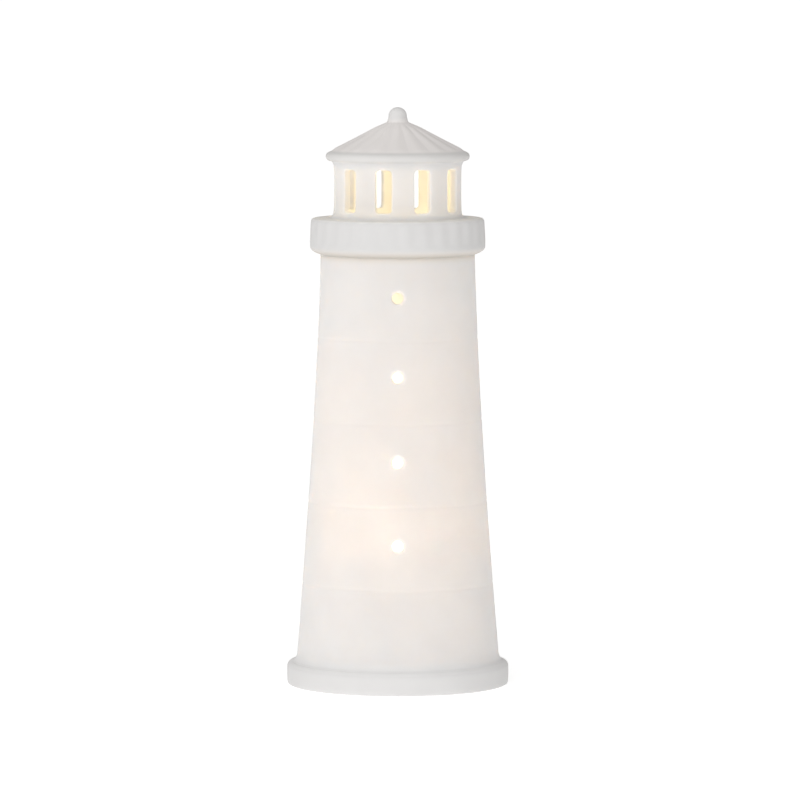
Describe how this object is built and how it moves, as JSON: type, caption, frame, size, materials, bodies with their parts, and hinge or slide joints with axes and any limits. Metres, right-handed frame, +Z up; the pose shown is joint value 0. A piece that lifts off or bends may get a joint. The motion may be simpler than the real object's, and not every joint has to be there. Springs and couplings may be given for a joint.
{
  "type": "porcelain lighthouse figurine with a light inside",
  "caption": "White bisque porcelain lighthouse standing over a battery light unit; the porcelain lifts off to reach the switch.",
  "frame": {"origin": "centre of the footprint on the table, at the foot ring's underside", "axes": "+Z up the tower's axis; the four portholes look along -Y; +X to the right as seen from the porthole side"},
  "size_m": [0.0958, 0.0958, 0.249],
  "materials": {
    "porcelain": "matte",
    "white_abs": "satin",
    "grey_abs": "satin",
    "black_abs": "satin",
    "rubber": "matte",
    "steel": "satin",
    "nickel_plate": "satin",
    "brass_contact": "satin",
    "cell_sleeve": "satin",
    "board": "satin",
    "led_epoxy": "gloss",
    "frosted_dome": "matte",
    "component_black": "satin",
    "phenolic": "satin",
    "wire_red": "satin",
    "wire_black": "satin",
    "foam": "matte"
  },
  "bodies": {
    "light_unit": {"housing": "white_abs", "base_plate": "grey_abs", "rubber_feet": "rubber", "base_screws": "steel", "cartridge": "black_abs", "cell_1": "cell_sleeve", "cell_2": "cell_sleeve", "cell_3": "cell_sleeve", "cell_springs": "nickel_plate", "bridge_plates": "nickel_plate", "top_contact": "brass_contact", "led_board": "board", "leds": "led_epoxy", "resistors": "component_black", "controller_chip": "component_black", "board_screws": "steel", "diffuser_dome": "frosted_dome", "switch_can": "steel", "switch_pins": "phenolic", "wire_red": "wire_red", "wire_black": "wire_black"},
    "porcelain_body": {"plinth": "porcelain", "tower": "porcelain", "gallery": "porcelain", "lantern_room": "porcelain", "roof": "porcelain", "finial": "porcelain"},
    "battery_cover": {"battery_cover": "grey_abs", "cover_pad": "foam"},
    "switch_knob": {"switch_slider": "black_abs"}
  },
  "joints": [
    {"name": "porcelain_lift", "type": "slide", "parent": "light_unit", "child": "porcelain_body", "axis": [0, 0, 1], "range_m": [0, 0.08]},
    {"name": "switch_slide", "type": "slide", "parent": "light_unit", "child": "switch_knob", "axis": [1, 0, 0], "range_m": [0, 0.004]},
    {"name": "battery_cover_turn", "type": "hinge", "parent": "light_unit", "child": "battery_cover", "pos_m": [0, 0, 0.0022], "axis": [0, 0, 1], "range_deg": [0, 35]}
  ]
}
